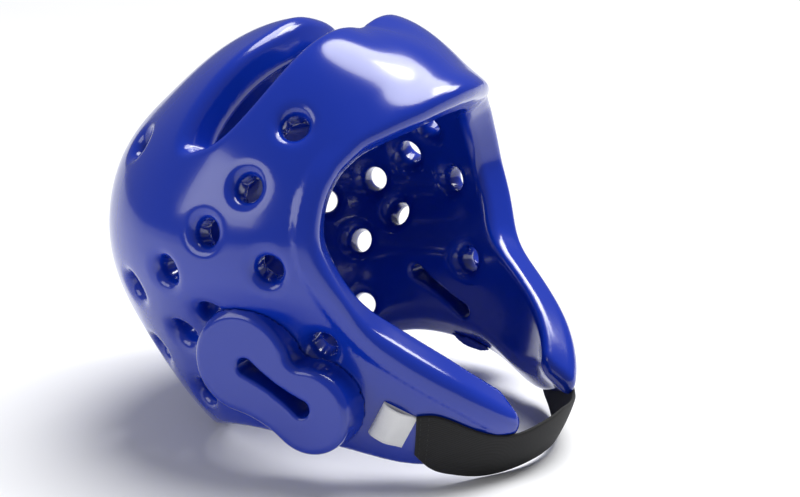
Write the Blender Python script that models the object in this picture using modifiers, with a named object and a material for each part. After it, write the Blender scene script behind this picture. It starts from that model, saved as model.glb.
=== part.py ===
"""Sparring headgear: a dipped foam shell with a face opening, a crown slot and vents, two ear
pads, a chin strap and a small folded loop label. Metres, +Z up, front towards -Y, wearer's right
towards -X. It stands on its neck rim and its chin strap, tipped back as it lies on a floor.

The skull is a surface in polar form about one centre. Azimuth is 0 at the front and 180 at the
back; colatitude is 0 at the crown and 90 at the height of the centre. Both are in degrees.
"""

from collections import namedtuple
from math import atan2, cos, degrees, hypot, pi, radians, sin, sqrt

import bmesh
import bpy
import numpy as np
from mathutils import Matrix, Vector

# Driving dimensions.
SKULL_HALF_WIDTH = 0.1115
SKULL_HALF_LENGTH = 0.1275
SKULL_HALF_HEIGHT = 0.1285
SKULL_SETBACK = -0.0042
FOAM = 0.023
BROW_SWELL = 0.005
BROW_SWELL_REACH = 0.016

SLOT_REACH = 0.140
SLOT_HALF_GAP = 0.0225
SLOT_FRONT_SHIFT = -0.020
SLOT_SWEEP = 0.034
SLOT_END_SPREAD = 0.45

VENT_RADIUS = 0.0072
VENT_FLARE = 0.0048
VENT_FLARE_DEPTH = 0.006

PAD_REAR_RADIUS = 0.031
PAD_FRONT_RADIUS = 0.0265
PAD_LOBE_SPACING = 0.048
PAD_NOTCH_RADIUS = 0.009
PAD_UNDER_RADIUS = 0.060
PAD_PROUD = 0.017
PAD_EDGE_ROUND = 0.005
EAR_SLOT_SPACING = 0.041
EAR_SLOT_END_RADIUS = 0.0052
EAR_SLOT_WAIST = 0.0032

STRAP_THICKNESS = 0.0022
STRAP_FREE_LIFT = 0.0006
STRAP_SEWN_SINK = 0.0013
LABEL_LIFT = -0.0009
LABEL_LENGTH = 0.020
LABEL_HEIGHT = 0.020
LABEL_BULGE = 0.0055
LABEL_PLY = 0.0008
SEAT_GAP = 0.0003

# What follows from them.
MEAN_RADIUS = (SKULL_HALF_WIDTH + SKULL_HALF_LENGTH + SKULL_HALF_HEIGHT) / 3
NECK_REACH = 1.127
SKULL_LIFT = NECK_REACH * SKULL_HALF_HEIGHT
SLOT_END = degrees(SLOT_REACH / MEAN_RADIUS)

Ring = namedtuple("Ring", "colatitude front front_side side rear_side rear")
SKULL = (
    # Shares of the half sizes, round each ring from the front to the back.
    Ring(0, 0.805, 0.805, 0.805, 0.805, 0.805),
    Ring(28, 0.808, 0.830, 0.895, 0.870, 0.892),
    Ring(48, 0.806, 0.830, 0.922, 0.938, 0.955),
    Ring(66, 0.846, 0.878, 0.972, 1.028, 1.042),
    Ring(84, 0.944, 0.971, 1.058, 1.164, 1.199),
    Ring(102, 1.106, 1.054, 1.098, 1.256, 1.252),
    Ring(120, 1.337, 1.184, 1.066, 1.259, 1.278),
    Ring(140, 1.537, 1.450, 1.338, 1.325, 1.301),
    Ring(154, 1.620, 1.580, 1.400, 1.370, 1.365),
)

Edge = namedtuple("Edge", "azimuth colatitude")
BROW_LINE = (
    # Lower edge of the brow, then the same ring carried on below the slot's ends and round the back.
    Edge(0, 49.3), Edge(20, 50.9), Edge(33, 53.7), Edge(43, 56.4), Edge(51.5, 59.6),
    Edge(59, 63.6), Edge(65, 69.5), Edge(80, SLOT_END + 10.5), Edge(100, SLOT_END + 15.5),
    Edge(140, SLOT_END + 18.5), Edge(180, SLOT_END + 18.5),
)
TEMPLE_LINE = (
    Edge(65, 69.5), Edge(68.2, 76), Edge(69.8, 84), Edge(69.5, 90), Edge(67.5, 95),
    Edge(64.5, 100.5),
)
CHEEK_LINE = (
    # Upper edge of the cheek, then the same ring carried on round the sides and the back.
    Edge(15.6, 127.0), Edge(25.7, 123.2), Edge(33.8, 120.2), Edge(41.3, 117.6), Edge(49, 114.6),
    Edge(54.5, 112), Edge(60, 107.3), Edge(64.5, 100.5), Edge(78, 102), Edge(100, 106),
    Edge(140, 108), Edge(180, 108),
)
BOTTOM_LINE = (
    Edge(15.0, 130.4), Edge(25, 133.2), Edge(35, 136.6), Edge(48, 138.0), Edge(63, 137.5),
    Edge(78, 137.8), Edge(92, 138.2), Edge(112, 141.5), Edge(130, 147.6), Edge(151, 151.0),
    Edge(180, 151.0),
)
SIDE_VENTS = (
    Edge(139, 75.8), Edge(81.2, 57.9), Edge(90.4, 76.7), Edge(99.6, 88.9), Edge(82.5, 96.1),
    Edge(111.1, 99.9), Edge(126.5, 107.1), Edge(101.6, 111.1), Edge(114.5, 118),
    Edge(131.9, 124.9), Edge(114.5, 132.9), Edge(70.3, 117.6), Edge(154, 96), Edge(153, 118),
)
BACK_VENTS = (Edge(180, 78), Edge(180, 108))

Strap = namedtuple("Strap", "azimuth top low")
STRAP = (
    # Colatitudes of the strap's two edges, from the middle of the chin to its sewn end.
    Strap(0, 127.0, 136.6), Strap(9, 128.0, 137.0), Strap(18, 129.3, 137.9),
    Strap(27, 128.8, 138.3), Strap(34, 127.2, 137.8), Strap(40.5, 126.3, 136.6),
    Strap(44.6, 127.0, 134.4),
)
STRAP_LEAVES = 12
STRAP_SETTLES = 12
PAD_PLACE = Edge(81.5, 126.0)
PAD_SLOPE = 28
LABEL_PLACE = Edge(50.6, 129.7)
LABEL_SLANT = 28

# Cells of the shell's cage: across the crown, beside the face, below it, in front and behind.
CROWN_ROWS = (0.0, 0.16, 0.42, 0.72, 1.0)
TEMPLE_ROWS = (0.33, 0.67, 1.0)
JAW_ROWS = (0.3, 0.65, 1.0)
FACE_COLUMNS = 6
SIDE_COLUMNS = 10

SLOT_CORNER_POWER = 3.2
VENT_SIDES = 10
ARC_STEP = 16


def clear_scene():
    for obj in list(bpy.data.objects):
        bpy.data.objects.remove(obj, do_unlink=True)


def collection(name, hidden=False):
    made = bpy.data.collections.new(name)
    bpy.context.scene.collection.children.link(made)
    made.hide_render = hidden
    return made


def material(name, colour, roughness):
    made = bpy.data.materials.new(name)
    made.use_nodes = True
    made.diffuse_color = (*colour, 1)
    shader = made.node_tree.nodes["Principled BSDF"]
    shader.inputs["Base Color"].default_value = (*colour, 1)
    shader.inputs["Roughness"].default_value = roughness
    shader.inputs["Metallic"].default_value = 0.0
    return made


def spline(xs, ys, x):
    """Natural cubic curve through the points (xs, ys), read at x."""
    xs, ys = np.asarray(xs, float), np.asarray(ys, float)
    step = np.diff(xs)
    count = len(xs)
    left, right = np.eye(count), np.zeros(count)
    for i in range(1, count - 1):
        left[i, i - 1 : i + 2] = step[i - 1], 2 * (step[i - 1] + step[i]), step[i]
        right[i] = 6 * ((ys[i + 1] - ys[i]) / step[i] - (ys[i] - ys[i - 1]) / step[i - 1])
    bend = np.linalg.solve(left, right)
    x = min(max(x, xs[0]), xs[-1])
    i = min(max(int(np.searchsorted(xs, x)) - 1, 0), count - 2)
    a, b = (xs[i + 1] - x) / step[i], (x - xs[i]) / step[i]
    curl = ((a**3 - a) * bend[i] + (b**3 - b) * bend[i + 1]) * step[i] ** 2 / 6
    return a * ys[i] + b * ys[i + 1] + curl


def line_at(line, azimuth):
    """Colatitude of a line of Edges at an azimuth."""
    return spline([e.azimuth for e in line], [e.colatitude for e in line], azimuth)


COLUMN_AZIMUTHS = np.radians((0, 45, 90, 135, 180))
COSINES = np.arange(5)
COLUMN_TO_COSINE = np.linalg.inv(np.cos(np.outer(COLUMN_AZIMUTHS, COSINES)))
RING_COLATITUDES = [ring.colatitude for ring in SKULL]


def share(azimuth, colatitude):
    """Radius of the skull as a share of its half sizes."""
    columns = [spline(RING_COLATITUDES, [r[c + 1] for r in SKULL], colatitude) for c in range(5)]
    weights = np.cos(COSINES * radians(azimuth)) @ COLUMN_TO_COSINE
    return float(weights @ columns)


def brow_swell(azimuth, colatitude):
    """Extra height of the rolled brow, just above the brow line and fading at the temples."""
    rise = radians(line_at(BROW_LINE, abs(azimuth)) - colatitude) * MEAN_RADIUS
    along = max(0.0, cos(radians(min(abs(azimuth) * 1.6, 90))))
    return BROW_SWELL * along * np.exp(-(((rise - 0.009) / BROW_SWELL_REACH) ** 2))


def bare_skin(azimuth, colatitude):
    a, c = radians(azimuth), radians(colatitude)
    reach = share(abs(azimuth), colatitude)
    reach += brow_swell(azimuth, colatitude) / SKULL_HALF_LENGTH
    return Vector((
        -SKULL_HALF_WIDTH * reach * sin(c) * sin(a),
        SKULL_SETBACK - SKULL_HALF_LENGTH * reach * sin(c) * cos(a),
        SKULL_LIFT + SKULL_HALF_HEIGHT * reach * cos(c),
    ))


def normal(azimuth, colatitude):
    """Outward normal of the skin."""
    step = 0.5
    across = bare_skin(azimuth + step, colatitude) - bare_skin(azimuth - step, colatitude)
    down = bare_skin(azimuth, colatitude + step) - bare_skin(azimuth, colatitude - step)
    return across.cross(down).normalized()


def skin(azimuth, colatitude, out=0.0):
    """A point of the wearer's right side of the skin, moved out along its normal."""
    return bare_skin(azimuth, colatitude) + out * normal(azimuth, colatitude)


def slot_point(turn):
    """Flat map place of the crown slot's rim, in degrees: 0 at its front, 180 at its back."""
    t = radians(turn)
    across = SLOT_REACH * abs(sin(t)) ** (2 / SLOT_CORNER_POWER)
    side = cos(t)
    depth = SLOT_HALF_GAP * abs(side) ** (2 / SLOT_CORNER_POWER) * (1 if side > 0 else -1)
    out = across / SLOT_REACH
    depth *= 1 + SLOT_END_SPREAD * out**2
    forward = depth + SLOT_FRONT_SHIFT - SLOT_SWEEP * out**2
    return np.degrees(np.array((across, forward)) / MEAN_RADIUS)


def to_map(azimuth, colatitude):
    return colatitude * np.array((sin(radians(azimuth)), cos(radians(azimuth))))


def from_map(place):
    return degrees(atan2(place[0], place[1])), hypot(*place)


def mix(a, b, t):
    return a + (b - a) * t


def crown_row(t):
    """One ring of cage places between the crown slot's rim, t = 0, and the brow line, t = 1."""
    places = []
    first, last = TEMPLE_LINE[0].azimuth, 180
    for j in range(FACE_COLUMNS + SIDE_COLUMNS + 1):
        if j <= FACE_COLUMNS:
            azimuth = first * j / FACE_COLUMNS
        else:
            azimuth = mix(first, last, (j - FACE_COLUMNS) / SIDE_COLUMNS)
        outer = to_map(azimuth, line_at(BROW_LINE, azimuth))
        places.append(from_map(mix(slot_point(azimuth), outer, t)))
    return places


def temple_row(t):
    """One row from the face opening's side round to the back."""
    edge_colatitude = mix(TEMPLE_LINE[0].colatitude, TEMPLE_LINE[-1].colatitude, t)
    edge = spline([e.colatitude for e in TEMPLE_LINE], [e.azimuth for e in TEMPLE_LINE],
                  edge_colatitude)
    places = [None] * FACE_COLUMNS
    for j in range(SIDE_COLUMNS + 1):
        azimuth = mix(edge, 180, j / SIDE_COLUMNS)
        colatitude = mix(line_at(BROW_LINE, azimuth), line_at(CHEEK_LINE, azimuth), t)
        places.append((azimuth, edge_colatitude if j == 0 else colatitude))
    return places


def jaw_row(t):
    """One row from the cheek's tip round to the back."""
    tip = mix(CHEEK_LINE[0].azimuth, BOTTOM_LINE[0].azimuth, t)
    temple = TEMPLE_LINE[-1].azimuth
    places = [None]
    for j in range(1, FACE_COLUMNS + SIDE_COLUMNS + 1):
        if j <= FACE_COLUMNS:
            azimuth = mix(tip, temple, (j - 1) / (FACE_COLUMNS - 1))
        else:
            azimuth = mix(temple, 180, (j - FACE_COLUMNS) / SIDE_COLUMNS)
        places.append((azimuth, mix(line_at(CHEEK_LINE, azimuth),
                                    line_at(BOTTOM_LINE, azimuth), t)))
    return places


def cage_mesh():
    """The wearer's right half of the shell's outer skin, open at the middle."""
    rows = [crown_row(t) for t in CROWN_ROWS]
    rows += [temple_row(t) for t in TEMPLE_ROWS]
    cheek = jaw_row(0.0)
    rows[-1][1:FACE_COLUMNS] = cheek[1:FACE_COLUMNS]
    rows += [jaw_row(t) for t in JAW_ROWS]
    bm = bmesh.new()
    grid = []
    for row in rows:
        made = []
        for place in row:
            vert = None
            if place is not None:
                vert = bm.verts.new(skin(*place))
                if place[0] < 0.01 or place[0] > 179.99:
                    vert.co.x = 0.0
            made.append(vert)
        grid.append(made)
    brow, cheek_top = len(CROWN_ROWS) - 1, len(CROWN_ROWS) + len(TEMPLE_ROWS) - 1
    for i in range(len(grid) - 1):
        start = 0 if i < brow else FACE_COLUMNS if i < cheek_top else 1
        for j in range(start, FACE_COLUMNS + SIDE_COLUMNS):
            bm.faces.new((grid[i][j], grid[i][j + 1], grid[i + 1][j + 1], grid[i + 1][j]))
    bmesh.ops.recalc_face_normals(bm, faces=bm.faces)
    middle = bm.faces[:][0]
    if middle.normal.dot(middle.calc_center_median() - Vector((0, SKULL_SETBACK, SKULL_LIFT))) < 0:
        bmesh.ops.reverse_faces(bm, faces=bm.faces)
    mesh = bpy.data.meshes.new("shell_cage")
    bm.to_mesh(mesh)
    bm.free()
    return mesh


def foam_wall(obj, extra):
    """Mirror, wall thickness and smoothing of the shell; extra stands out past the skin."""
    mirror = obj.modifiers.new("Other side", "MIRROR")
    mirror.use_clip = True
    mirror.merge_threshold = 0.0001
    wall = obj.modifiers.new("Foam wall", "SOLIDIFY")
    wall.thickness = FOAM + extra
    wall.offset = 2 * extra / wall.thickness - 1
    wall.use_even_offset = True
    wall.use_quality_normals = True
    soft = obj.modifiers.new("Soft form", "SUBSURF")
    soft.levels = soft.render_levels = 1


def add(name, mesh, group, finish=None):
    obj = bpy.data.objects.new(name, mesh)
    group.objects.link(obj)
    if finish is not None:
        mesh.materials.append(finish)
        mesh.shade_smooth()
    else:
        obj.hide_render = True
        obj.display_type = "WIRE"
    return obj


def cut(obj, cutter, name):
    boolean = obj.modifiers.new(name, "BOOLEAN")
    boolean.operation = "DIFFERENCE"
    boolean.solver = "EXACT"
    boolean.use_self = True
    if isinstance(cutter, bpy.types.Collection):
        boolean.operand_type = "COLLECTION"
        boolean.collection = cutter
    else:
        boolean.object = cutter


def frame_at(place, side, slope=0.0):
    """A frame on the skin: Z out, X towards the front, then turned down by the slope."""
    out = normal(place.azimuth, place.colatitude)
    point = skin(place.azimuth, place.colatitude)
    ahead = Vector((0, -1, 0))
    ahead = (ahead - ahead.dot(out) * out).normalized()
    ahead = Matrix.Rotation(radians(-slope), 3, out) @ ahead
    third = out.cross(ahead)
    turned = Matrix((ahead, third, out)).transposed().to_4x4()
    placed = Matrix.Translation(point) @ turned
    if side > 0:
        flip = Matrix.Diagonal((-1, 1, 1, 1))
        placed = flip @ placed @ Matrix.Diagonal((1, -1, 1, 1))
    return placed


def vent_profile():
    """Half outline of a vent cutter: a bore with a soft flare at the outer skin."""
    deep, flare = -1.6 * FOAM, VENT_RADIUS + VENT_FLARE
    points = [(0, FOAM), (flare + VENT_FLARE, FOAM), (flare, 0.0006)]
    for step in range(1, 4):
        turn = radians(90 * step / 3)
        points.append((flare - VENT_FLARE * sin(turn),
                       0.0006 - VENT_FLARE_DEPTH * (1 - cos(turn))))
    points += [(VENT_RADIUS, deep), (0, deep)]
    mesh = bpy.data.meshes.new("vent_profile")
    edges = [(i, i + 1) for i in range(len(points) - 1)]
    mesh.from_pydata([(x, 0, z) for x, z in points], edges, [])
    return mesh


def vent_cutters(group):
    profile = vent_profile()
    places = [(place, side) for place in SIDE_VENTS for side in (-1, 1)]
    places += [(place, -1) for place in BACK_VENTS]
    for number, (place, side) in enumerate(places):
        obj = add(f"vent_cutter_{number:02d}", profile, group)
        obj.matrix_world = frame_at(place, side)
        screw = obj.modifiers.new("Turned", "SCREW")
        screw.steps = screw.render_steps = VENT_SIDES
        screw.use_merge_vertices = True
        screw.merge_threshold = 0.00001


def arc(centre, radius, start, end):
    count = max(2, int(abs(end - start) / ARC_STEP) + 1)
    turns = np.radians(np.linspace(start, end, count + 1))
    return [(centre[0] + radius * cos(t), centre[1] + radius * sin(t)) for t in turns]


def bone_outline(rear, front, spacing, upper, under):
    """Two lobes joined by hollow arcs: the rear lobe at the origin, the front one along X.
    upper and under are the radii of the hollow arcs on the +Y and -Y sides."""
    points = []

    def hollow(radius):
        a, b = rear + radius, front + radius
        x = (a * a - b * b + spacing * spacing) / (2 * spacing)
        return x, sqrt(max(a * a - x * x, 0.0))

    ux, uy = hollow(upper)
    dx, dy = hollow(under)
    to_rear_u = degrees(atan2(uy, ux))
    to_front_u = degrees(atan2(uy, ux - spacing))
    to_rear_d = degrees(atan2(dy, dx))
    to_front_d = degrees(atan2(dy, dx - spacing))
    points += arc((0, 0), rear, to_rear_u, 360 - to_rear_d)
    points += arc((dx, -dy), under, 180 - to_rear_d, 180 - to_front_d)[1:-1]
    points += arc((spacing, 0), front, -to_front_d, to_front_u)
    points += arc((ux, uy), upper, 180 + to_front_u, 180 + to_rear_u)[1:-1]
    return points


def prism(name, outline, low, high, holes=()):
    """A mesh from a flat outline, with its holes, standing from z = low to z = high."""
    curve = bpy.data.curves.new(name, "CURVE")
    curve.dimensions = "2D"
    curve.fill_mode = "BOTH"
    curve.extrude = (high - low) / 2
    for ring in (outline, *holes):
        run = curve.splines.new("POLY")
        run.points.add(len(ring) - 1)
        run.use_cyclic_u = True
        for point, (x, y) in zip(run.points, ring):
            point.co = (x, y, 0, 1)
    flat = bpy.data.objects.new(name, curve)
    bpy.context.scene.collection.objects.link(flat)
    graph = bpy.context.evaluated_depsgraph_get()
    mesh = bpy.data.meshes.new_from_object(flat.evaluated_get(graph))
    bpy.data.objects.remove(flat)
    bm = bmesh.new()
    bm.from_mesh(mesh)
    bmesh.ops.remove_doubles(bm, verts=bm.verts, dist=0.00001)
    bmesh.ops.translate(bm, verts=bm.verts, vec=(0, 0, (high + low) / 2))
    bmesh.ops.recalc_face_normals(bm, faces=bm.faces)
    bm.to_mesh(mesh)
    bm.free()
    return mesh


def place_mesh(mesh, matrix):
    """Moves the mesh itself, so that a mirrored frame keeps its faces pointing out."""
    mesh.transform(matrix)
    if matrix.determinant() < 0:
        mesh.flip_normals()
    mesh.update()


def ear_slot_mesh():
    half = EAR_SLOT_SPACING / 2
    rise = EAR_SLOT_END_RADIUS - EAR_SLOT_WAIST
    hollow = (half * half + EAR_SLOT_WAIST**2 - EAR_SLOT_END_RADIUS**2) / (2 * rise)
    outline = bone_outline(EAR_SLOT_END_RADIUS, EAR_SLOT_END_RADIUS, EAR_SLOT_SPACING,
                           hollow, hollow)
    shift = (PAD_LOBE_SPACING - EAR_SLOT_SPACING) / 2
    outline = [(x + shift - PAD_LOBE_SPACING / 2, y) for x, y in outline]
    return prism("ear_slot", outline, -2.5 * FOAM, PAD_PROUD + FOAM)


def ear_pad_mesh():
    outline = bone_outline(PAD_REAR_RADIUS, PAD_FRONT_RADIUS, PAD_LOBE_SPACING,
                           PAD_NOTCH_RADIUS, PAD_UNDER_RADIUS)
    outline = [(x - PAD_LOBE_SPACING / 2, y) for x, y in outline]
    return prism("ear_pad", outline, -FOAM / 2, PAD_PROUD)


def ear_pad(name, side, group, cutters, seat, finish):
    """One ear pad with its slot cutter, which goes on through the shell."""
    placed = frame_at(PAD_PLACE, side, PAD_SLOPE)
    if side > 0:
        placed = placed @ Matrix.Diagonal((1, -1, 1, 1))
    slot_mesh = ear_slot_mesh()
    place_mesh(slot_mesh, placed)
    slot = add(f"{name}_slot_cutter", slot_mesh, cutters)
    mesh = ear_pad_mesh()
    place_mesh(mesh, placed)
    pad = add(name, mesh, group, finish)
    rounding = pad.modifiers.new("Rounded edge", "BEVEL")
    rounding.width = PAD_EDGE_ROUND
    rounding.segments = 2
    rounding.limit_method = "ANGLE"
    rounding.angle_limit = radians(50)
    cut(pad, seat, "Seat on the shell")
    cut(pad, slot, "Ear slot")
    return slot


def chin_strap_mesh():
    """Half of the strap as an open band, from the middle of the chin to its sewn end."""
    rows, across = [], 4
    stations = []
    for first, second in zip(STRAP, STRAP[1:]):
        for t in (0.0, 0.5):
            stations.append(mix(first.azimuth, second.azimuth, t))
    stations.append(STRAP[-1].azimuth)
    azimuths = [s.azimuth for s in STRAP]
    bm = bmesh.new()
    for azimuth in stations:
        top = spline(azimuths, [s.top for s in STRAP], azimuth)
        low = spline(azimuths, [s.low for s in STRAP], azimuth)
        sewn = min(max((azimuth - STRAP_LEAVES) / STRAP_SETTLES, 0.0), 1.0)
        lift = mix(STRAP_FREE_LIFT, -STRAP_SEWN_SINK, sewn)
        row = []
        for k in range(across + 1):
            vert = bm.verts.new(skin(azimuth, mix(top, low, k / across), lift))
            if azimuth < 0.01:
                vert.co.x = 0.0
            row.append(vert)
        rows.append(row)
    for first, second in zip(rows, rows[1:]):
        for k in range(across):
            bm.faces.new((first[k], first[k + 1], second[k + 1], second[k]))
    bm.normal_update()
    if bm.faces[:][0].normal.y > 0:
        bmesh.ops.reverse_faces(bm, faces=bm.faces)
    mesh = bpy.data.meshes.new("chin_strap")
    bm.to_mesh(mesh)
    bm.free()
    return mesh


def chin_strap(group, seat, finish):
    obj = add("chin_strap", chin_strap_mesh(), group, finish)
    mirror = obj.modifiers.new("Other side", "MIRROR")
    mirror.use_clip = True
    mirror.merge_threshold = 0.0001
    wall = obj.modifiers.new("Webbing", "SOLIDIFY")
    wall.thickness = STRAP_THICKNESS
    wall.offset = 1
    wall.use_even_offset = True
    cut(obj, seat, "Seat on the shell")


def loop_outline(length, bulge, inset):
    """A flattened loop: flat below, bulged above, lying along X from its sewn end."""
    points = []
    count = 12
    for i in range(count + 1):
        t = pi * i / count
        points.append(((length / 2 - inset) * cos(t) - length / 2,
                       inset + (bulge - 2 * inset) * sin(t) ** 0.8))
    return points[::-1]


def loop_label(group, finish):
    outer = loop_outline(LABEL_LENGTH, LABEL_BULGE, 0.0)
    inner = loop_outline(LABEL_LENGTH, LABEL_BULGE, LABEL_PLY)
    mesh = prism("loop_label", outer, -LABEL_HEIGHT / 2, LABEL_HEIGHT / 2, (inner,))
    stand = Matrix(((1, 0, 0, LABEL_LENGTH / 2), (0, 0, -1, 0), (0, 1, 0, LABEL_LIFT), (0, 0, 0, 1)))
    place_mesh(mesh, frame_at(LABEL_PLACE, -1, LABEL_SLANT) @ stand)
    return add("loop_label", mesh, group, finish)


def main():
    clear_scene()
    parts = collection("sparring_headgear")
    cutters = collection("cutters", hidden=True)
    vents = bpy.data.collections.new("vent_cutters")
    cutters.children.link(vents)
    blue = material("dipped_foam", (0.012, 0.035, 0.30), 0.22)
    pad_blue = material("ear_pad_foam", (0.012, 0.035, 0.30), 0.22)
    black = material("elastic_webbing", (0.012, 0.012, 0.014), 0.85)
    white = material("label_satin", (0.80, 0.80, 0.80), 0.55)

    seat = add("pad_seat_cutter", cage_mesh(), cutters)
    foam_wall(seat, SEAT_GAP)
    shell = add("foam_shell", cage_mesh(), parts, blue)
    foam_wall(shell, 0.0)
    vent_cutters(vents)
    cut(shell, vents, "Vents")
    for name, side in (("ear_pad_right", -1), ("ear_pad_left", 1)):
        slot = ear_pad(name, side, parts, cutters, seat, pad_blue)
        cut(shell, slot, "Ear slot")
    chin_strap(parts, seat, black)
    loop_label(parts, white)


main()
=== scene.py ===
"""Looks of the sparring headgear: dipped foam shell, ear pads, elastic chin strap and loop label.

The shell and the pads are worked out as smooth fields over the same polar skin as the source's
solids, then turned into closed meshes whose points lie on the field's surface.
"""

from collections import namedtuple
from math import atan2, cos, degrees, pi, radians, sin, sqrt

import bmesh
import bpy
import numpy as np
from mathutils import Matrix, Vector


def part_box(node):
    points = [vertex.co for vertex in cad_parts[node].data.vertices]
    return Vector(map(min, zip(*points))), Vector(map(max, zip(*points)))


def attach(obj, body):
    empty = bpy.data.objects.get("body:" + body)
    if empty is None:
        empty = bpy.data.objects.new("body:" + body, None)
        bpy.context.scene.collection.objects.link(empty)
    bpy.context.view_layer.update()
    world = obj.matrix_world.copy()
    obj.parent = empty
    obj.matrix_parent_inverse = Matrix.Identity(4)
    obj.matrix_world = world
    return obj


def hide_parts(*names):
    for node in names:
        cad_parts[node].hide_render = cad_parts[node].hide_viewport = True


bl_info = {
    "name": "Sparring headgear",
    "version": (1, 0, 0),
    "blender": (4, 5, 0),
    "location": "View3D > Sidebar > Headgear",
    "description": "Builds a dipped foam sparring headgear over its packed solids",
    "category": "Object",
}

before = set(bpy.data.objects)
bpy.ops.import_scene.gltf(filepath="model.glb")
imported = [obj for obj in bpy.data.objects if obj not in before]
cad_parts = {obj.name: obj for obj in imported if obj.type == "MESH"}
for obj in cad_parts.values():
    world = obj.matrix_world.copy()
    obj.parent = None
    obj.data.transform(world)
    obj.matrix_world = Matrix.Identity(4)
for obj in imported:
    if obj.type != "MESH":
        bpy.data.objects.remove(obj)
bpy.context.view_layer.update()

# The skin of the skull, as in the source: half sizes, centre and shares of the half sizes.
HALF = np.array((0.1115, 0.1275, 0.1285))
CENTRE = np.array((0.0, -0.0042, 1.127 * 0.1285))
MEAN_RADIUS = HALF.mean()
FOAM = 0.023
BROW_SWELL = 0.005
BROW_SWELL_RISE = 0.009
BROW_SWELL_REACH = 0.016

Ring = namedtuple("Ring", "colatitude front front_side side rear_side rear")
SKULL = (
    Ring(0, 0.805, 0.805, 0.805, 0.805, 0.805),
    Ring(28, 0.808, 0.830, 0.895, 0.870, 0.892),
    Ring(48, 0.806, 0.830, 0.922, 0.938, 0.955),
    Ring(66, 0.846, 0.878, 0.972, 1.028, 1.042),
    Ring(84, 0.944, 0.971, 1.058, 1.164, 1.199),
    Ring(102, 1.106, 1.054, 1.098, 1.256, 1.252),
    Ring(120, 1.337, 1.184, 1.066, 1.259, 1.278),
    Ring(140, 1.537, 1.450, 1.338, 1.325, 1.301),
    Ring(154, 1.620, 1.580, 1.400, 1.370, 1.365),
)

Edge = namedtuple("Edge", "azimuth colatitude")
BROW_LINE = (
    Edge(0, 49.3), Edge(20, 50.9), Edge(33, 53.7), Edge(43, 56.4), Edge(51.5, 59.6),
    Edge(59, 63.6), Edge(65, 69.5), Edge(80, 76), Edge(100, 81), Edge(140, 84), Edge(180, 84),
)
TEMPLE_LINE = (
    Edge(65, 69.5), Edge(68.2, 76), Edge(69.8, 84), Edge(69.5, 90), Edge(67.5, 95),
    Edge(64.5, 100.5),
)
CHEEK_LINE = (
    Edge(15.6, 127.0), Edge(25.7, 123.2), Edge(33.8, 120.2), Edge(41.3, 117.6), Edge(49, 114.6),
    Edge(54.5, 112), Edge(60, 107.3), Edge(64.5, 100.5),
)
BOTTOM_LINE = (
    Edge(15.0, 130.4), Edge(25, 133.2), Edge(35, 136.6), Edge(48, 138.0), Edge(63, 137.5),
    Edge(78, 137.8), Edge(92, 138.2), Edge(112, 141.5), Edge(130, 147.6), Edge(151, 151.0),
    Edge(180, 151.0),
)
SIDE_VENTS = (
    Edge(139, 75.8), Edge(81.2, 57.9), Edge(90.4, 76.7), Edge(99.6, 88.9), Edge(82.5, 96.1),
    Edge(111.1, 99.9), Edge(126.5, 107.1), Edge(101.6, 111.1), Edge(114.5, 118),
    Edge(131.9, 124.9), Edge(114.5, 132.9), Edge(70.3, 117.6), Edge(154, 96), Edge(153, 118),
)
BACK_VENTS = (Edge(180, 78), Edge(180, 108))

SLOT_REACH = 0.140
SLOT_HALF_GAP = 0.0226
SLOT_FRONT_SHIFT = -0.020
SLOT_SWEEP = 0.034
SLOT_END_SPREAD = 0.45
SLOT_CORNER_POWER = 3.2

Strap = namedtuple("Strap", "azimuth top low")
STRAP = (
    Strap(0, 127.0, 136.6), Strap(9, 128.0, 137.0), Strap(18, 129.3, 137.9),
    Strap(27, 128.8, 138.3), Strap(34, 127.2, 137.8), Strap(40.5, 126.3, 136.6),
    Strap(44.6, 127.0, 134.4),
)
STRAP_RUN = 0.30
STRAP_WIDTH = 0.032
STRAP_LEAVES = 12
STRAP_SETTLES = 12
STRAP_FREE_LIFT = 0.0006
STRAP_SEWN_LIFT = 0.0003
PAD_PLACE = Edge(81.5, 126.0)
PAD_SLOPE = 28
PAD_REAR_RADIUS = 0.031
PAD_FRONT_RADIUS = 0.0265
PAD_LOBE_SPACING = 0.048
PAD_NOTCH_RADIUS = 0.009
PAD_UNDER_RADIUS = 0.060
PAD_PROUD = 0.0176
PAD_FLARE = 0.0022
EAR_SLOT_END_RADIUS = 0.0052
EAR_SLOT_SPACING = 0.041
EAR_SLOT_WAIST = 0.0032
LABEL_PLACE = Edge(50.6, 129.7)
LABEL_SLANT = 28
LABEL_SINK = 0.0007
SEAT_GAP = 0.0003
STANDS_AT = 0.0003


# Settings that a user would change.

def length(name, text, default, low=0.0, high=1.0):
    return bpy.props.FloatProperty(name=name, description=text, default=default, min=low,
                                   max=high, unit="LENGTH", precision=4)


def colour(name, text, default):
    return bpy.props.FloatVectorProperty(name=name, description=text, default=default, size=3,
                                         min=0.0, max=1.0, subtype="COLOR")


class FoamSettings(bpy.types.PropertyGroup):
    rim_round: length("Rim rounding", "Radius of the foam's rims", 0.0068)
    vent_radius: length("Vent radius", "Radius of an air hole's bore", 0.0075)
    vent_flare: length("Vent flare", "Softness of an air hole's mouth", 0.0095)
    rim_band: length("Rim band", "Width of the raised band beside the face opening", 0.0125)
    rim_band_height: length("Rim band height", "Height of that band", 0.0016)
    pad_round: length("Pad rounding", "Radius of an ear pad's edge", 0.0050)
    cell: length("Cell size", "Spacing of the shell's points", 0.0021, 0.001, 0.01)
    pad_cell: length("Pad cell size", "Spacing of an ear pad's points", 0.0013, 0.0005, 0.01)
    blue: colour("Blue", "Colour of the dipped skin", (0.0030, 0.030, 0.400))


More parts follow.
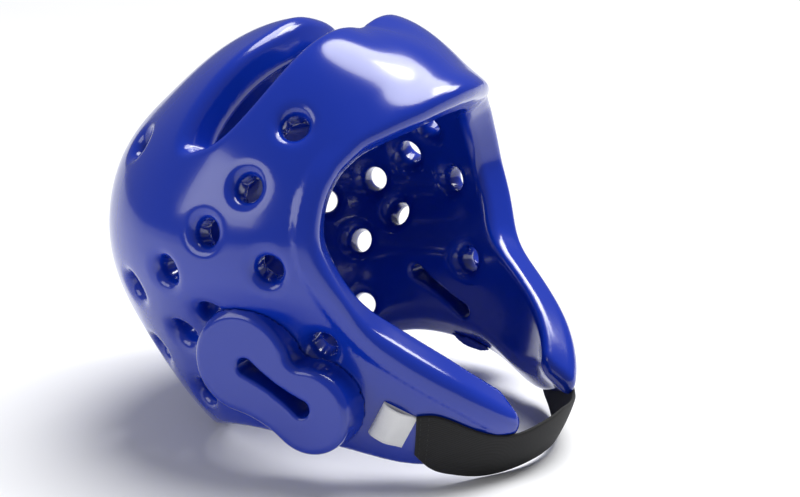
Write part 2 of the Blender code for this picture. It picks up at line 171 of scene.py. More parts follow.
class StrapSettings(bpy.types.PropertyGroup):
    thickness: length("Thickness", "Thickness of the elastic", 0.0022)
    black: colour("Black", "Colour of the elastic", (0.0045, 0.0045, 0.0052))
    stitch: length("Stitch length", "Length of one stitch", 0.0024)
    thread: length("Thread radius", "Radius of the sewing thread", 0.00022)


class LabelSettings(bpy.types.PropertyGroup):
    long: length("Length", "Length of the folded loop", 0.0212)
    high: length("Height", "Width of the ribbon", 0.0222)
    bulge: length("Bulge", "Height of the folded loop", 0.0050)
    ply: length("Ply", "Thickness of the ribbon", 0.0006)
    white: colour("White", "Colour of the satin", (0.83, 0.83, 0.84))


class StageSettings(bpy.types.PropertyGroup):
    floor: colour("Floor", "Colour of the floor", (0.86, 0.865, 0.88))
    room: bpy.props.FloatProperty(name="Room light", description="Strength of the room's light",
                                  default=0.22, min=0, max=4)
    sun: bpy.props.FloatProperty(name="Window light", description="Strength of the wide soft light",
                                 default=3.1, min=0, max=10)
    lens: bpy.props.FloatProperty(name="Lens", description="Focal length of the camera",
                                  default=80.44, min=10, max=400)
    camera: bpy.props.FloatVectorProperty(name="Camera", description="Place of the camera",
                                          default=(-0.8846, -0.5792, 0.4510), size=3,
                                          subtype="XYZ")
    azimuth: bpy.props.FloatProperty(name="Azimuth", description="Side the camera looks from",
                                     default=-58.48)
    elevation: bpy.props.FloatProperty(name="Elevation", description="Height of that look",
                                       default=18.0)


# Curves and the skin.

def bend_matrix(xs):
    """Second derivatives of a natural cubic curve as a linear map of its values."""
    step = np.diff(xs)
    count = len(xs)
    left, right = np.eye(count), np.zeros((count, count))
    for i in range(1, count - 1):
        left[i, i - 1:i + 2] = step[i - 1], 2 * (step[i - 1] + step[i]), step[i]
        right[i, i - 1:i + 2] = (6 / step[i - 1], -6 / step[i - 1] - 6 / step[i], 6 / step[i])
    return np.linalg.solve(left, right)


class Spline:
    """Natural cubic curve through rows of values."""

    def __init__(self, xs, ys):
        self.xs = np.asarray(xs, float)
        self.ys = np.asarray(ys, float)
        self.bend = bend_matrix(self.xs) @ self.ys

    def __call__(self, x):
        x = np.clip(x, self.xs[0], self.xs[-1])
        i = np.clip(np.searchsorted(self.xs, x) - 1, 0, len(self.xs) - 2)
        step = self.xs[i + 1] - self.xs[i]
        a, b = (self.xs[i + 1] - x) / step, (x - self.xs[i]) / step
        if self.ys.ndim > 1:
            a, b, step = a[..., None], b[..., None], step[..., None]
        curl = ((a**3 - a) * self.bend[i] + (b**3 - b) * self.bend[i + 1]) * step**2 / 6
        return a * self.ys[i] + b * self.ys[i + 1] + curl


def spline_of(rows, key, value):
    return Spline([getattr(row, key) for row in rows], [getattr(row, value) for row in rows])


BROW = spline_of(BROW_LINE, "azimuth", "colatitude")
TEMPLE = spline_of(TEMPLE_LINE, "colatitude", "azimuth")
CHEEK = spline_of(CHEEK_LINE, "azimuth", "colatitude")
BOTTOM = spline_of(BOTTOM_LINE, "azimuth", "colatitude")
STRAP_TOP = spline_of(STRAP, "azimuth", "top")
STRAP_LOW = spline_of(STRAP, "azimuth", "low")
RINGS = Spline([ring.colatitude for ring in SKULL], [ring[1:] for ring in SKULL])
COSINES = np.arange(5)
TO_COSINES = np.linalg.inv(np.cos(np.outer(np.radians((0, 45, 90, 135, 180)), COSINES)))


def reach_at(azimuth, colatitude):
    """Radius of the skin as a share of the half sizes, with the rolled brow."""
    azimuth, colatitude = np.abs(np.asarray(azimuth, float)), np.asarray(colatitude, float)
    weights = np.cos(np.radians(azimuth)[..., None] * COSINES) @ TO_COSINES
    reach = (weights * RINGS(colatitude)).sum(-1)
    rise = np.radians(BROW(azimuth) - colatitude) * MEAN_RADIUS
    along = np.maximum(0.0, np.cos(np.radians(np.minimum(azimuth * 1.6, 90))))
    swell = BROW_SWELL * along * np.exp(-(((rise - BROW_SWELL_RISE) / BROW_SWELL_REACH) ** 2))
    return reach + swell / HALF[1]


def skin(azimuth, colatitude, out=0.0):
    """Points of the skin, moved out along its normal."""
    azimuth, colatitude = np.broadcast_arrays(np.asarray(azimuth, float),
                                              np.asarray(colatitude, float))

    def bare(azimuth, colatitude):
        a, c = np.radians(azimuth), np.radians(colatitude)
        way = np.stack([-np.sin(c) * np.sin(a), -np.sin(c) * np.cos(a), np.cos(c)], -1)
        return CENTRE + HALF * way * reach_at(azimuth, colatitude)[..., None]

    place = bare(azimuth, colatitude)
    across = bare(azimuth + 0.5, colatitude) - bare(azimuth - 0.5, colatitude)
    down = bare(azimuth, colatitude + 0.5) - bare(azimuth, colatitude - 0.5)
    normal = np.cross(across, down)
    normal /= np.maximum(np.linalg.norm(normal, axis=-1, keepdims=True), 1e-12)
    return place + np.asarray(out)[..., None] * normal, normal


def lean_table():
    """Cosine between the ray from the centre and the skin's normal."""
    azimuth, colatitude = np.meshgrid(np.arange(0, 181, 3.0), np.arange(1, 162, 2.0),
                                      indexing="ij")
    place, normal = skin(azimuth, colatitude)
    ray = place - CENTRE
    ray /= np.linalg.norm(ray, axis=-1, keepdims=True)
    return np.abs((ray * normal).sum(-1))


LEAN = lean_table()


def lean_at(azimuth, colatitude):
    x = np.clip(np.abs(azimuth) / 3.0, 0, 59.999)
    y = np.clip((colatitude - 1) / 2.0, 0, LEAN.shape[1] - 1.001)
    i, j = x.astype(int), y.astype(int)
    u, v = x - i, y - j
    low = LEAN[i, j] * (1 - u) + LEAN[i + 1, j] * u
    high = LEAN[i, j + 1] * (1 - u) + LEAN[i + 1, j + 1] * u
    return low * (1 - v) + high * v


def polar(points):
    """Height above the skin, azimuth, colatitude and the skin point on the same ray."""
    ray = points - CENTRE
    q = ray / HALF
    r = np.maximum(np.linalg.norm(q, axis=-1), 1e-9)
    colatitude = np.degrees(np.arccos(np.clip(q[..., 2] / r, -1, 1)))
    azimuth = np.degrees(np.arctan2(-q[..., 0], -q[..., 1]))
    share = reach_at(azimuth, colatitude) / r
    height = np.linalg.norm(ray, axis=-1) * (1 - share) * lean_at(azimuth, colatitude)
    return height, azimuth, colatitude, CENTRE + ray * share[..., None]


# Rims of the foam, as closed lines on the skin.

def even_loop(points, step):
    """The closed line with evenly spaced points."""
    closed = np.concatenate([points, points[:1]])
    run = np.concatenate([[0], np.cumsum(np.linalg.norm(np.diff(closed, axis=0), axis=1))])
    count = int(round(run[-1] / step / 8)) * 8
    at = np.linspace(0, run[-1], count, endpoint=False)
    return np.stack([np.interp(at, run, closed[:, k]) for k in range(3)], -1)


def soft_loop(points, step, passes):
    points = even_loop(points, step)
    for _ in range(passes):
        points = (np.roll(points, 1, 0) + 2 * points + np.roll(points, -1, 0)) / 4
    return even_loop(polar(points)[3], step)


def outer_rim():
    """Brow, temple, cheek, tip and neck rim, and the same on the other side."""
    turn = np.linspace(0, 65, 60)
    places = [np.stack([turn, BROW(turn)], -1)]
    fall = np.linspace(69.5, 100.5, 30)[1:]
    places.append(np.stack([TEMPLE(fall), fall], -1))
    turn = np.linspace(64.5, 15.6, 60)[1:]
    places.append(np.stack([turn, CHEEK(turn)], -1))
    turn = np.linspace(15.0, 180, 150)
    places.append(np.stack([turn, BOTTOM(turn)], -1))
    places = np.concatenate(places)
    places = np.concatenate([places, places[-2:0:-1] * (-1, 1)])
    return soft_loop(skin(places[:, 0], places[:, 1])[0], 0.0015, 8)


def crown_rim():
    """Rim of the slot across the crown."""
    turn = np.radians(np.linspace(-180, 180, 400, endpoint=False))
    bow = np.abs(np.sin(turn)) ** (2 / SLOT_CORNER_POWER)
    across = SLOT_REACH * bow * np.sign(np.sin(turn))
    depth = SLOT_HALF_GAP * np.abs(np.cos(turn)) ** (2 / SLOT_CORNER_POWER)
    depth *= np.sign(np.cos(turn)) * (1 + SLOT_END_SPREAD * bow**2)
    forward = depth + SLOT_FRONT_SHIFT - SLOT_SWEEP * bow**2
    x, y = np.degrees(across / MEAN_RADIUS), np.degrees(forward / MEAN_RADIUS)
    return soft_loop(skin(np.degrees(np.arctan2(x, y)), np.hypot(x, y))[0], 0.0015, 10)


class Rim:
    """Signed distance along the skin from a closed line, positive on the foam's side."""

    def __init__(self, points, foam_point):
        self.points = points
        self.following = np.roll(points, -1, 0)
        _, azimuth, colatitude, _ = polar(points)
        normal = skin(azimuth, colatitude)[1]
        tangent = self.following - np.roll(points, 1, 0)
        side = np.cross(tangent, normal)
        self.side = side / np.linalg.norm(side, axis=-1, keepdims=True)
        self.coarse = points[::8]
        if self.gap(np.array([foam_point]))[0] < 0:
            self.side = -self.side

    def gap(self, places):
        made = np.empty(len(places))
        window = np.arange(-8, 9)
        for first in range(0, len(places), 40000):
            q = places[first:first + 40000]
            far = (self.coarse**2).sum(1) - 2 * q @ self.coarse.T
            near = np.argmin(far, 1) * 8
            index = (near[:, None] + window) % len(self.points)
            a, b = self.points[index], self.following[index]
            ab, aq = b - a, q[:, None] - a
            t = np.clip((aq * ab).sum(-1) / (ab * ab).sum(-1), 0, 1)
            off = aq - t[..., None] * ab
            square = (off * off).sum(-1)
            best = np.argmin(square, 1)
            row = np.arange(len(q))
            sign = (off[row, best] * self.side[index[row, best]]).sum(-1)
            made[first:first + 40000] = np.sqrt(square[row, best]) * np.where(sign < 0, -1, 1)
        return made


# Flat outlines of the ear pads and their slots.

def arc(centre, radius, start, end, step=5):
    turns = np.radians(np.linspace(start, end, max(2, int(abs(end - start) / step)) + 1))
    return [(centre[0] + radius * cos(t), centre[1] + radius * sin(t)) for t in turns]


def bone_outline(rear, front, spacing, upper, under):
    """Two lobes joined by hollow arcs, the rear lobe first, centred between them."""

    def hollow(radius):
        a, b = rear + radius, front + radius
        x = (a * a - b * b + spacing * spacing) / (2 * spacing)
        return x, sqrt(max(a * a - x * x, 0.0))

    ux, uy = hollow(upper)
    dx, dy = hollow(under)
    rear_up, front_up = degrees(atan2(uy, ux)), degrees(atan2(uy, ux - spacing))
    rear_down, front_down = degrees(atan2(dy, dx)), degrees(atan2(dy, dx - spacing))
    points = arc((0, 0), rear, rear_up, 360 - rear_down)
    points += arc((dx, -dy), under, 180 - rear_down, 180 - front_down)[1:-1]
    points += arc((spacing, 0), front, -front_down, front_up)
    points += arc((ux, uy), upper, 180 + front_up, 180 + rear_up)[1:-1]
    return np.array(points) - (spacing / 2, 0)


def flat_gap(outline, x, y):
    """Signed distance to a closed flat outline, negative inside."""
    a, b = outline, np.roll(outline, -1, 0)
    best = np.full(x.shape, 1e9)
    inside = np.zeros(x.shape, bool)
    for (ax, ay), (bx, by) in zip(a, b):
        ex, ey = bx - ax, by - ay
        t = np.clip(((x - ax) * ex + (y - ay) * ey) / max(ex * ex + ey * ey, 1e-18), 0, 1)
        best = np.minimum(best, (x - ax - t * ex) ** 2 + (y - ay - t * ey) ** 2)
        crosses = (ay > y) != (by > y)
        at = ax + (y - ay) * ex / (ey if ey else 1e-12)
        inside ^= crosses & (x < at)
    return np.where(inside, -1, 1) * np.sqrt(best)


def frame_at(place, slope):
    """Axes on the wearer's right side: towards the front, up and out, turned down by the slope."""
    point, out = skin(place.azimuth, place.colatitude)
    ahead = np.array((0.0, -1.0, 0.0))
    ahead -= (ahead @ out) * out
    ahead /= np.linalg.norm(ahead)
    up = np.cross(out, ahead)
    s = radians(slope)
    return point, np.array((ahead * cos(s) - up * sin(s), up * cos(s) + ahead * sin(s), out))


def right_side(points):
    """The points folded onto the wearer's right side."""
    folded = points.copy()
    folded[..., 0] = -np.abs(folded[..., 0])
    return folded


# Fields: negative in the foam, in metres.

def round_max(a, b, radius):
    """Meeting of two solids with a rounded edge."""
    u, v = a + radius, b + radius
    return np.hypot(np.maximum(u, 0), np.maximum(v, 0)) + np.minimum(np.maximum(u, v), 0) - radius


def soft_max(a, b, width):
    h = np.clip(0.5 + 0.5 * (a - b) / width, 0, 1)
    return b + (a - b) * h + width * h * (1 - h)


def smooth_step(x, low, high):
    t = np.clip((x - low) / (high - low), 0, 1)
    return t * t * (3 - 2 * t)


class Headgear:
    """The fields of the foam pieces for one set of sizes."""

    def __init__(self, sizes):
        self.sizes = sizes
        crown_foam = skin(0, 30)[0]
        self.outer = Rim(outer_rim(), crown_foam)
        self.crown = Rim(crown_rim(), crown_foam)
        self.vents = [skin(v.azimuth, v.colatitude) for v in SIDE_VENTS + BACK_VENTS]
        self.pad_point, self.pad_axes = frame_at(PAD_PLACE, PAD_SLOPE)
        self.pad_outline = bone_outline(PAD_REAR_RADIUS, PAD_FRONT_RADIUS, PAD_LOBE_SPACING,
                                        PAD_NOTCH_RADIUS, PAD_UNDER_RADIUS)
        end, half = EAR_SLOT_END_RADIUS, EAR_SLOT_SPACING / 2
        waist = (half * half + EAR_SLOT_WAIST**2 - end**2) / (2 * (end - EAR_SLOT_WAIST))
        self.slot_outline = bone_outline(end, end, EAR_SLOT_SPACING, waist, waist)

    def pad_place(self, points):
        local = (right_side(points) - self.pad_point) @ self.pad_axes.T
        return local[..., 0], local[..., 1], local[..., 2]

    def wall(self, points):
        """The wall with its rims, without the holes."""
        sizes = self.sizes
        height, azimuth, colatitude, foot = polar(points)
        face = self.outer.gap(foot)
        edge = np.minimum(face, self.crown.gap(foot))
        beside_face = smooth_step(colatitude, 62, 74) * smooth_step(133 - colatitude, 0, 7)
        beside_face = beside_face * smooth_step(92 - np.abs(azimuth), 0, 12)
        band = 1 - smooth_step(face, sizes.rim_band, sizes.rim_band + 0.0035)
        raised = sizes.rim_band_height * band * beside_face
        slab = np.maximum(height - raised, -FOAM - height)
        return round_max(slab, -edge, sizes.rim_round), height

    def shell(self, points):
        sizes = self.sizes
        value, _ = self.wall(points)
        folded = right_side(points)
        for place, out in self.vents:
            away = folded - place
            along = away @ out
            radial = np.sqrt(np.maximum((away * away).sum(-1) - along**2, 0))
            value = soft_max(value, np.where(along > -0.06, sizes.vent_radius - radial, -1),
                             sizes.vent_flare)
        x, y, z = self.pad_place(points)
        near = (np.hypot(x, y) < 0.05) & (z > -0.05) & (z < 0.04)
        slot = np.full(value.shape, -1.0)
        slot[near] = -flat_gap(self.slot_outline, x[near], y[near])
        value = soft_max(value, slot, 0.003)
        return round_max(value, STANDS_AT - points[:, 2], 0.004)

    def pad(self, points):
        sizes = self.sizes
        x, y, z = self.pad_place(points)
        wall, height = self.wall(points)
        flat = flat_gap(self.pad_outline, x, y)
        flare = PAD_FLARE * np.exp(-np.maximum(height, 0) / PAD_FLARE)
        value = round_max(z - PAD_PROUD, flat - flare, sizes.pad_round)
        value = soft_max(value, -flat_gap(self.slot_outline, x, y), 0.0022)
        value = np.maximum(value, -z - FOAM / 2)
        return np.maximum(value, SEAT_GAP - wall)


# From a field to a mesh.

def surface_net(values, low, step):
    """Closed quads on the zero level of a grid of values."""
    inside = values < 0
    shape = np.array(values.shape)
    total = np.zeros((*(shape - 1), 3))
    count = np.zeros(shape - 1)
    faces = []
    for axis in range(3):
        first, second = [slice(None)] * 3, [slice(None)] * 3
        first[axis], second[axis] = slice(0, -1), slice(1, None)
        first, second = tuple(first), tuple(second)
        crossed = inside[first] != inside[second]
        u, v = (axis + 1) % 3, (axis + 2) % 3
        node = np.argwhere(crossed)
        near, far = values[first][crossed], values[second][crossed]
        start_in = inside[first][crossed]
        keep = (node[:, u] > 0) & (node[:, v] > 0)
        keep &= (node[:, u] < shape[u] - 1) & (node[:, v] < shape[v] - 1)
        node, near, far, start_in = node[keep], near[keep], far[keep], start_in[keep]
        place = node.astype(float)
        place[:, axis] += near / (near - far)
        corners = []
        for du, dv in ((1, 1), (0, 1), (0, 0), (1, 0)):
            cell = node.copy()
            cell[:, u] -= du
            cell[:, v] -= dv
            np.add.at(total, tuple(cell.T), place)
            np.add.at(count, tuple(cell.T), 1)
            corners.append(np.ravel_multi_index(tuple(cell.T), count.shape))
        quad = np.stack(corners, -1)
        quad[~start_in] = quad[~start_in][:, ::-1]
        faces.append(quad)
    faces = np.concatenate(faces)
    used, faces = np.unique(faces, return_inverse=True)
    points = total.reshape(-1, 3)[used] / count.reshape(-1)[used][:, None]
    return low + points * step, faces.reshape(-1, 4)


def slope_of(field, points, reach=0.00025):
    """Value and slope of a field at the points."""
    ways = np.array(((1, 1, 1), (1, -1, -1), (-1, 1, -1), (-1, -1, 1)), float)
    value, slope = 0, 0
    for way in ways:
        there = field(points + reach * way)
        value = value + there / 4
        slope = slope + there[:, None] * way / (4 * reach)
    return value, slope


def settle(points, faces, field, rounds):
    """Evens out the points and moves them onto the field's surface."""
    pairs = np.concatenate([faces[:, (0, 1)], faces[:, (1, 2)], faces[:, (2, 3)], faces[:, (3, 0)]])
    ends = np.concatenate([pairs[:, 0], pairs[:, 1]])
    other = np.concatenate([pairs[:, 1], pairs[:, 0]])
    share = np.bincount(ends, minlength=len(points))[:, None]
    for number in range(rounds):
        if number < rounds - 1:
            mean = np.stack([np.bincount(ends, points[other, k], len(points)) for k in range(3)],
                            -1) / share
            points = points + 0.6 * (mean - points)
        value, slope = slope_of(field, points)
        size = np.maximum((slope * slope).sum(-1), 0.05)
        move = -(value / size)[:, None] * slope
        long = np.linalg.norm(move, axis=-1, keepdims=True)
        points = points + move * np.minimum(1, 0.0015 / np.maximum(long, 1e-9))
    return points


def mesh_of(name, points, faces):
    mesh = bpy.data.meshes.new(name)
    mesh.vertices.add(len(points))
    mesh.vertices.foreach_set("co", np.asarray(points, np.float32).ravel())
    mesh.loops.add(faces.size)
    mesh.loops.foreach_set("vertex_index", faces.astype(np.int32).ravel())
    mesh.polygons.add(len(faces))
    mesh.polygons.foreach_set("loop_start", np.arange(0, faces.size, 4, dtype=np.int32))
    mesh.update(calc_edges=True)
    mesh.validate()
    mesh.shade_smooth()
    return mesh


def add(name, mesh, finish, slot, *nodes):
    obj = bpy.data.objects.new(name, mesh)
    bpy.context.scene.collection.objects.link(obj)
    mesh.materials.clear()
    mesh.materials.append(finish)
    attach(obj, "root")
    if nodes:
        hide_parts(*nodes)
    return obj


def grid(low, high, step):
    return [np.arange(int(np.floor(a / step)), int(np.ceil(b / step)) + 1) * step
            for a, b in zip(low, high)]


def shell_mesh(gear, step):
    low, high = np.array(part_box("foam_shell"), float)
    xs, ys, zs = grid((0, low[1] - 0.008, low[2] - 0.008), (high[0] + 0.008, high[1] + 0.008,
                                                            high[2] + 0.008), step)
    points = np.stack(np.meshgrid(xs, ys, zs, indexing="ij"), -1)
    shape = points.shape[:3]
    points = points.reshape(-1, 3)
    height = np.concatenate([polar(part)[0] for part in np.array_split(points, 20)])
    band = np.abs(height + FOAM / 2) < FOAM / 2 + 3 * step
    values = np.full(len(points), 1.0)
    values[band] = gear.shell(points[band])
    values = values.reshape(shape)
    values = np.concatenate([values[:0:-1], values])
    made, faces = surface_net(values, np.array((-xs[-1], ys[0], zs[0])), step)
    made = settle(made, faces, gear.shell, 4)
    return mesh_of("foam_shell_skin", made, faces)


def pad_mesh(gear, side, step):
    name = "ear_pad_right" if side < 0 else "ear_pad_left"
    low, high = np.array(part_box(name), float)
    xs, ys, zs = grid(low - 0.005, high + 0.005, step)
    points = np.stack(np.meshgrid(xs, ys, zs, indexing="ij"), -1)
    values = gear.pad(points.reshape(-1, 3)).reshape(points.shape[:3])
    made, faces = surface_net(values, np.array((xs[0], ys[0], zs[0])), step)
    made = settle(made, faces, gear.pad, 4)
    return mesh_of(f"{name}_skin", made, faces)


# Strap and label.

def strap_points(u, v, lift):
    """Points of the strap: u runs from one sewn end to the other, v from its top to its low edge."""
    azimuth = u * STRAP[-1].azimuth
    turn = np.abs(azimuth)
    colatitude = STRAP_TOP(turn) * (1 - v) + STRAP_LOW(turn) * v
    sewn = np.clip((turn - STRAP_LEAVES) / STRAP_SETTLES, 0, 1)
    base = STRAP_FREE_LIFT + (STRAP_SEWN_LIFT - STRAP_FREE_LIFT) * sewn
    place, normal = skin(azimuth, colatitude, base + lift)
    return place, normal


def strap_mesh(thickness, along=260, across=30):
    """A closed band with rounded edges, and its own UV map in metres."""
    u = np.linspace(-1, 1, along)
    turn = np.linspace(0, 2 * pi, 2 * across, endpoint=False)
    v = np.where(turn < pi, turn / pi, 2 - turn / pi)
    bulge = np.sign(pi - turn) * (1 - np.abs(2 * v - 1) ** 24) ** 0.5
    rows = []
    for one in u:
        end = (1 - abs(one) ** 220) ** 0.5 if abs(one) < 1 else 0.0
        lift = thickness / 2 + thickness / 2 * bulge * max(end, 0.15)
        rows.append(strap_points(np.full_like(v, one), v, lift)[0])
    rows = np.array(rows)
    count = 2 * across
    index = np.arange(along * count).reshape(along, count)
    faces = np.stack([index[:-1], np.roll(index, -1, 1)[:-1], np.roll(index, -1, 1)[1:],
                      index[1:]], -1).reshape(-1, 4)
    points = rows.reshape(-1, 3)
    caps = []
    for row, flip in ((0, False), (along - 1, True)):
        ends = [[0, count - 1, 1], [across - 1, across + 1, across]]
        ends += [[k, count - k, count - k - 1, k + 1] for k in range(1, across - 1)]
        caps += [index[row, ring[::-1] if flip else ring].tolist() for ring in ends]
    mesh = bpy.data.meshes.new("chin_strap_elastic")
    mesh.from_pydata(points.tolist(), [], faces.tolist() + caps)
    mesh.validate()
    layer = mesh.uv_layers.new(name="cloth")
    row_of = np.repeat(np.arange(along), count)
    column_of = np.tile(np.arange(count), along)
    across_of = np.where(column_of <= across, column_of, 2 * across - column_of) / across
    pair = np.stack([u[row_of] * STRAP_RUN / 2, across_of * STRAP_WIDTH], -1)
    corner = np.empty(len(mesh.loops), np.int32)
    mesh.loops.foreach_get("vertex_index", corner)
    layer.data.foreach_set("uv", pair[corner].astype(np.float32).ravel())
    mesh.update()
    mesh.shade_smooth()
    return mesh


def label_mesh(sizes):
    """A ribbon folded into a flattened loop, open at its top and bottom."""
    point, axes = frame_at(LABEL_PLACE, LABEL_SLANT)
    turn = np.linspace(0, 2 * pi, 72, endpoint=False)
    long, bulge = sizes.long, sizes.bulge
    x = -long / 2 * np.cos(turn)
    z = np.where(np.sin(turn) > 0, bulge * np.abs(np.sin(turn)) ** 0.75, 0.0)
    z = z + np.where(np.sin(turn) < 0, 0.0003 * np.abs(np.sin(turn)), 0.0)
    # The sewn end lies flat under the strap, the folded end stands round.
    fold = 0.5 - x / long
    z = z * (0.30 + 0.70 * smooth_step(fold, 0.0, 0.55)) - LABEL_SINK
    outer = np.stack([x, z], -1)
    tangent = np.roll(outer, -1, 0) - np.roll(outer, 1, 0)
    normal = np.stack([tangent[:, 1], -tangent[:, 0]], -1)
    normal /= np.linalg.norm(normal, axis=1, keepdims=True)
    centre = outer.mean(0)
    if ((outer - centre) * normal).sum() < 0:
        normal = -normal
    inner = outer - normal * sizes.ply
    rings = 14
    points = []
    for k in range(rings + 1):
        y = (k / rings - 0.5) * sizes.high
        sway = 0.0004 * sin(3.0 * k / rings)
        for ring in (outer, inner):
            for (px, pz) in ring:
                local = np.array((px, y, pz + sway * (0.5 - px / long)))
                points.append(point + local @ axes)
    count = len(outer)
    faces = []

    def at(k, ring, i):
        return (k * 2 + ring) * count + i % count

    for i in range(count):
        for k in range(rings):
            faces.append((at(k, 0, i), at(k, 0, i + 1), at(k + 1, 0, i + 1), at(k + 1, 0, i)))
            faces.append((at(k, 1, i), at(k + 1, 1, i), at(k + 1, 1, i + 1), at(k, 1, i + 1)))
        faces.append((at(0, 0, i), at(0, 1, i), at(0, 1, i + 1), at(0, 0, i + 1)))
        faces.append((at(rings, 0, i), at(rings, 0, i + 1), at(rings, 1, i + 1),
                      at(rings, 1, i)))
    mesh = bpy.data.meshes.new("loop_label_satin")
    mesh.from_pydata([list(p) for p in points], [], faces)
    mesh.validate()
    bm = bmesh.new()
    bm.from_mesh(mesh)
    bmesh.ops.recalc_face_normals(bm, faces=bm.faces)
    bm.to_mesh(mesh)
    bm.free()
    mesh.shade_smooth()
    return mesh


# Shader groups and materials.

def new_group(name, inputs, outputs):
    group = bpy.data.node_groups.new(name, "ShaderNodeTree")
    for label, kind, default in inputs:
        socket = group.interface.new_socket(name=label, in_out="INPUT", socket_type=kind)
        socket.default_value = default
    for label, kind in outputs:
        group.interface.new_socket(name=label, in_out="OUTPUT", socket_type=kind)
    return group, group.nodes.new("NodeGroupInput"), group.nodes.new("NodeGroupOutput")


def wire(tree, source, target):
    tree.links.new(target, source)


def calc(tree, operation, a, b=None, c=None):
    node = tree.nodes.new("ShaderNodeMath")
    node.operation = operation
    for socket, value in zip(node.inputs, (a, b, c)):
        if value is None:
            continue
        if isinstance(value, (int, float)):
            socket.default_value = value
        else:
            tree.links.new(socket, value)
    return node.outputs[0]


def noise(tree, vector, scale, detail=2.0, roughness=0.5):
    node = tree.nodes.new("ShaderNodeTexNoise")
    node.inputs["Scale"].default_value = scale
    node.inputs["Detail"].default_value = detail
    node.inputs["Roughness"].default_value = roughness
    tree.links.new(node.inputs["Vector"], vector)
    return node.outputs["Fac"]


def mix_colour(tree, factor, a, b):
    node = tree.nodes.new("ShaderNodeMix")
    node.data_type = "RGBA"
    for key, value in ((0, factor), (6, a), (7, b)):
        if isinstance(value, (int, float)):
            node.inputs[key].default_value = value
        elif isinstance(value, (tuple, list)):
            node.inputs[key].default_value = (*value, 1.0)
        else:
            tree.links.new(node.inputs[key], value)
    return node.outputs[2]


def dipped_group():
    """Orange peel, slow waves and scuffs of a dipped vinyl skin."""
    group, given, out = new_group(
        "dipped_skin",
        [("Vector", "NodeSocketVector", (0, 0, 0)), ("Color", "NodeSocketColor", (0, 0, 1, 1)),
         ("Peel", "NodeSocketFloat", 0.00002), ("Wave", "NodeSocketFloat", 0.0002),
         ("Roughness", "NodeSocketFloat", 0.2)],
        [("Color", "NodeSocketColor"), ("Roughness", "NodeSocketFloat"),
         ("Normal", "NodeSocketVector")])
    vector = given.outputs["Vector"]
    peel = noise(group, vector, 620.0, 1.5)
    pits = noise(group, vector, 1500.0, 1.0)
    wave = noise(group, vector, 38.0, 1.0, 0.4)
    cloud = noise(group, vector, 14.0, 3.0)
    high = calc(group, "MULTIPLY", peel, given.outputs["Peel"])
    high = calc(group, "MULTIPLY_ADD", calc(group, "POWER", pits, 3.0),
                calc(group, "MULTIPLY", given.outputs["Peel"], 0.8), high)
    high = calc(group, "MULTIPLY_ADD", wave, given.outputs["Wave"], high)
    bump = group.nodes.new("ShaderNodeBump")
    bump.inputs["Strength"].default_value = 1.0
    bump.inputs["Distance"].default_value = 1.0
    wire(group, high, bump.inputs["Height"])
    dark = mix_colour(group, calc(group, "MULTIPLY", cloud, 0.35), given.outputs["Color"],
                      (0.002, 0.016, 0.260))
    wire(group, dark, out.inputs["Color"])
    rough = calc(group, "MULTIPLY_ADD", calc(group, "SUBTRACT", cloud, 0.5), 0.12,
                 given.outputs["Roughness"])
    wire(group, rough, out.inputs["Roughness"])
    wire(group, bump.outputs["Normal"], out.inputs["Normal"])
    return group


def weave_group():
    """Lengthwise ribs and cross threads of a knitted elastic, with painted sheen on the rib crests,
    on a UV map in metres.
    """
    group, given, out = new_group(
        "knitted_elastic",
        [("Vector", "NodeSocketVector", (0, 0, 0)), ("Color", "NodeSocketColor", (0, 0, 0, 1)),
         ("Rib", "NodeSocketFloat", 0.0011), ("Height", "NodeSocketFloat", 0.0002)],
        [("Color", "NodeSocketColor"), ("Roughness", "NodeSocketFloat"),
         ("Normal", "NodeSocketVector")])
    parts = group.nodes.new("ShaderNodeSeparateXYZ")
    wire(group, given.outputs["Vector"], parts.inputs[0])
    along, across = parts.outputs[0], parts.outputs[1]
    rib = calc(group, "MULTIPLY", calc(group, "DIVIDE", across, given.outputs["Rib"]), 2 * pi)
    rib_wave = calc(group, "MULTIPLY_ADD", calc(group, "SINE", rib), 0.5, 0.5)
    loops = calc(group, "ADD", calc(group, "MULTIPLY", calc(
        group, "DIVIDE", along, calc(group, "MULTIPLY", given.outputs["Rib"], 0.62)), 2 * pi), rib)
    loop_wave = calc(group, "MULTIPLY_ADD", calc(group, "SINE", loops), 0.5, 0.5)
    fuzz = noise(group, given.outputs["Vector"], 3000.0, 2.0)
    high = calc(group, "ADD", calc(group, "MULTIPLY", rib_wave, 0.65),
                calc(group, "MULTIPLY", loop_wave, 0.35))
    high = calc(group, "MULTIPLY_ADD", fuzz, 0.25, high)
    bump = group.nodes.new("ShaderNodeBump")
    bump.inputs["Strength"].default_value = 0.8
    bump.inputs["Distance"].default_value = 1.0
    wire(group, calc(group, "MULTIPLY", high, given.outputs["Height"]), bump.inputs["Height"])
    # Painted sheen: the colour lightens with the weave's height, so the crests look lit and the
    # grooves between them stay in painted shade.
    light = mix_colour(group, calc(group, "MULTIPLY", calc(group, "POWER", high, 2.0), 0.35),
                       given.outputs["Color"], (0.018, 0.018, 0.020))
    wire(group, light, out.inputs["Color"])
    wire(group, calc(group, "MULTIPLY_ADD", fuzz, 0.15, 0.72), out.inputs["Roughness"])
    wire(group, bump.outputs["Normal"], out.inputs["Normal"])
    return group


def blank_material(name):
    made = bpy.data.materials.new(name)
    made.use_nodes = True
    tree = made.node_tree
    return made, tree, tree.nodes["Principled BSDF"]


def place_group(tree, group, values):
    node = tree.nodes.new("ShaderNodeGroup")
    node.node_tree = group
    for key, value in values.items():
        node.inputs[key].default_value = value
    return node


def dress(tree, effect, vector, shader):
    """Feeds an effect group from the vector, and the shader from the group."""
    wire(tree, vector, effect.inputs["Vector"])
    for key, target in (("Color", "Base Color"), ("Roughness", "Roughness"), ("Normal", "Normal")):
        wire(tree, effect.outputs[key], shader.inputs[target])


